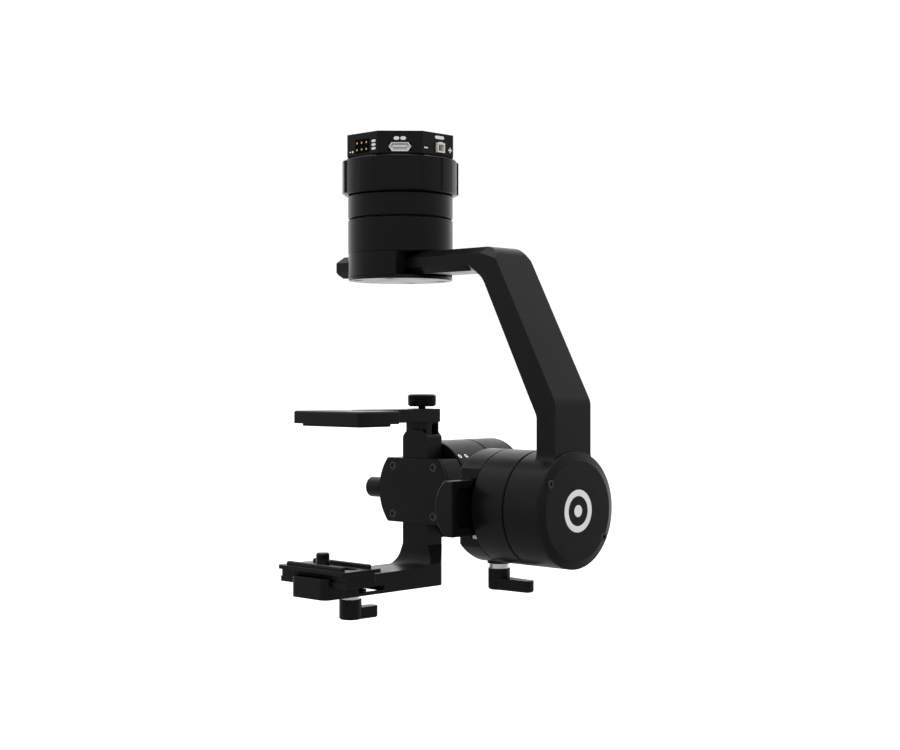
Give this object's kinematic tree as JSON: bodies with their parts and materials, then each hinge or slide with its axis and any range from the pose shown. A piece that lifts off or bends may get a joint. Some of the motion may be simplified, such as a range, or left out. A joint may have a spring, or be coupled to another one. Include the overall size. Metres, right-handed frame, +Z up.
{
  "type": "gimbal stabilizer",
  "caption": "Three-axis brushless camera gimbal that hangs under a drone: pan, roll and tilt motors, sliding clamped arms, and a camera cage with quick release plate and top clamp.",
  "frame": {"origin": "centre of the top mounting face, on the pan axis", "axes": "+Z up along the pan axis, out of the top face; +X along the tilt axis towards the camera plate; +Y along the roll axis to the rear motor"},
  "size_m": [0.1003, 0.1159, 0.1816],
  "materials": {
    "black_anodised": "satin black anodised, fine bead-blasted grain, pale worn edges",
    "black_steel": "black oxide socket screws",
    "bright_steel": "turned bright steel",
    "lamination_steel": "stacked silicon steel laminations",
    "copper_enamel": "enamelled copper wire",
    "magnet_nickel": "nickel plated magnets",
    "circuit_board": "solder-masked fibreglass board",
    "black_plastic": "moulded black nylon",
    "white_plastic": "moulded white nylon",
    "gold_pin": "gold plated pins",
    "aluminium_pad": "bare aluminium",
    "black_rubber": "matte ribbed rubber"
  },
  "bodies": {
    "mount_head": {"head_housing": "black_anodised", "head_lid": "black_anodised", "head_lid_screws": "black_steel", "control_board": "circuit_board", "usb_socket": "bright_steel", "signal_header": "black_plastic", "connector_pins": "gold_pin", "power_socket": "white_plastic", "pan_stator_case": "black_anodised", "pan_stator_core": "lamination_steel", "pan_windings": "copper_enamel", "pan_bearings": "bright_steel"},
    "lock_collar": {"lock_ring": "black_anodised"},
    "pan_carriage": {"pan_rotor_case": "black_anodised", "pan_magnets": "magnet_nickel", "pan_shaft": "bright_steel", "pan_clamp_plate": "black_anodised", "pan_clamp_screws": "black_steel"},
    "pan_arm_assembly": {"pan_arm": "black_anodised", "roll_cap": "black_anodised", "roll_cap_screws": "black_steel", "roll_stator_core": "lamination_steel", "roll_windings": "copper_enamel", "roll_bearings": "bright_steel"},
    "roll_carriage": {"roll_rotor_case": "black_anodised", "roll_magnets": "magnet_nickel", "roll_shaft": "bright_steel", "roll_block": "black_anodised", "roll_cover_plate": "black_anodised", "roll_cover_screws": "black_steel", "roll_clamp_pad": "aluminium_pad"},
    "roll_clamp_lever": {"roll_lever": "black_anodised", "roll_lever_washer": "bright_steel"},
    "roll_bar_assembly": {"roll_bar": "black_anodised", "tilt_stator_core": "lamination_steel", "tilt_windings": "copper_enamel", "tilt_bearings": "bright_steel", "tilt_cap": "black_anodised"},
    "tilt_carriage": {"tilt_rotor_case": "black_anodised", "tilt_magnets": "magnet_nickel", "tilt_shaft": "bright_steel", "tilt_block": "black_anodised", "tilt_cover_plate": "black_anodised", "tilt_cover_screws": "black_steel", "tilt_side_screws": "bright_steel", "post_clamp_pad": "aluminium_pad"},
    "post_clamp_lever": {"post_lever": "black_anodised", "post_lever_washer": "bright_steel"},
    "camera_cage": {"cage_arm": "black_anodised", "imu_sensor": "black_plastic"},
    "base_clamp_lever": {"base_lever": "black_anodised", "base_lever_washer": "bright_steel"},
    "release_plate": {"quick_release_plate": "black_anodised", "plate_grip_strips": "black_rubber"},
    "screw_carrier": {"camera_screw_washer": "bright_steel"},
    "camera_fastener": {"camera_screw": "black_steel"},
    "camera_jaw": {"top_clamp": "black_anodised", "top_clamp_pad": "black_rubber"},
    "jaw_screw": {"thumb_screw": "black_anodised"}
  },
  "joints": [
    {"name": "lock_ring_turn", "type": "hinge", "parent": "mount_head", "child": "lock_collar", "pos_m": [0, 0, -0.0155], "axis": [0, 0, 1], "range_deg": [0, 30]},
    {"name": "pan", "type": "hinge", "parent": "mount_head", "child": "pan_carriage", "pos_m": [0, 0, -0.0314], "axis": [0, 0, 1], "range_deg": [-330, 330]},
    {"name": "pan_arm_slide", "type": "slide", "parent": "pan_carriage", "child": "pan_arm_assembly", "axis": [0, 1, 0], "range_m": [-0.004, 0.006]},
    {"name": "roll", "type": "hinge", "parent": "pan_arm_assembly", "child": "roll_carriage", "pos_m": [0, 0.0706, -0.1378], "axis": [0, 1, 0], "range_deg": [-45, 45]},
    {"name": "roll_lever_turn", "type": "hinge", "parent": "roll_carriage", "child": "roll_clamp_lever", "pos_m": [0, 0.051, -0.16], "axis": [0, 0, 1], "range_deg": [-180, 180]},
    {"name": "roll_bar_slide", "type": "slide", "parent": "roll_carriage", "child": "roll_bar_assembly", "axis": [1, 0, 0], "range_m": [-0.006, 0.006]},
    {"name": "tilt", "type": "hinge", "parent": "roll_bar_assembly", "child": "tilt_carriage", "pos_m": [-0.0363, 0, -0.1356], "axis": [1, 0, 0], "range_deg": [-45, 135]},
    {"name": "post_lever_turn", "type": "hinge", "parent": "tilt_carriage", "child": "post_clamp_lever", "pos_m": [-0.0117, -0.022, -0.1356], "axis": [0, 1, 0], "range_deg": [-180, 180]},
    {"name": "cage_height", "type": "slide", "parent": "tilt_carriage", "child": "camera_cage", "axis": [0, 0, 1], "range_m": [0, 0.006]},
    {"name": "base_lever_turn", "type": "hinge", "parent": "camera_cage", "child": "base_clamp_lever", "pos_m": [0.0261, 0, -0.176], "axis": [0, 0, 1], "range_deg": [-180, 180]},
    {"name": "plate_slide", "type": "slide", "parent": "camera_cage", "child": "release_plate", "axis": [0, 1, 0], "range_m": [-0.01, 0.01]},
    {"name": "screw_slide", "type": "slide", "parent": "release_plate", "child": "screw_carrier", "axis": [0, 1, 0], "range_m": [-0.008, 0.012]},
    {"name": "camera_screw_turn", "type": "hinge", "parent": "screw_carrier", "child": "camera_fastener", "pos_m": [0.0373, -0.0028, -0.16], "axis": [0, 0, 1], "continuous": true},
    {"name": "jaw_height", "type": "slide", "parent": "camera_cage", "child": "camera_jaw", "axis": [0, 0, 1], "range_m": [-0.002, 0.008]},
    {"name": "thumb_screw_turn", "type": "hinge", "parent": "camera_jaw", "child": "jaw_screw", "pos_m": [-0.0117, 0, -0.1], "axis": [0, 0, 1], "continuous": true}
  ]
}
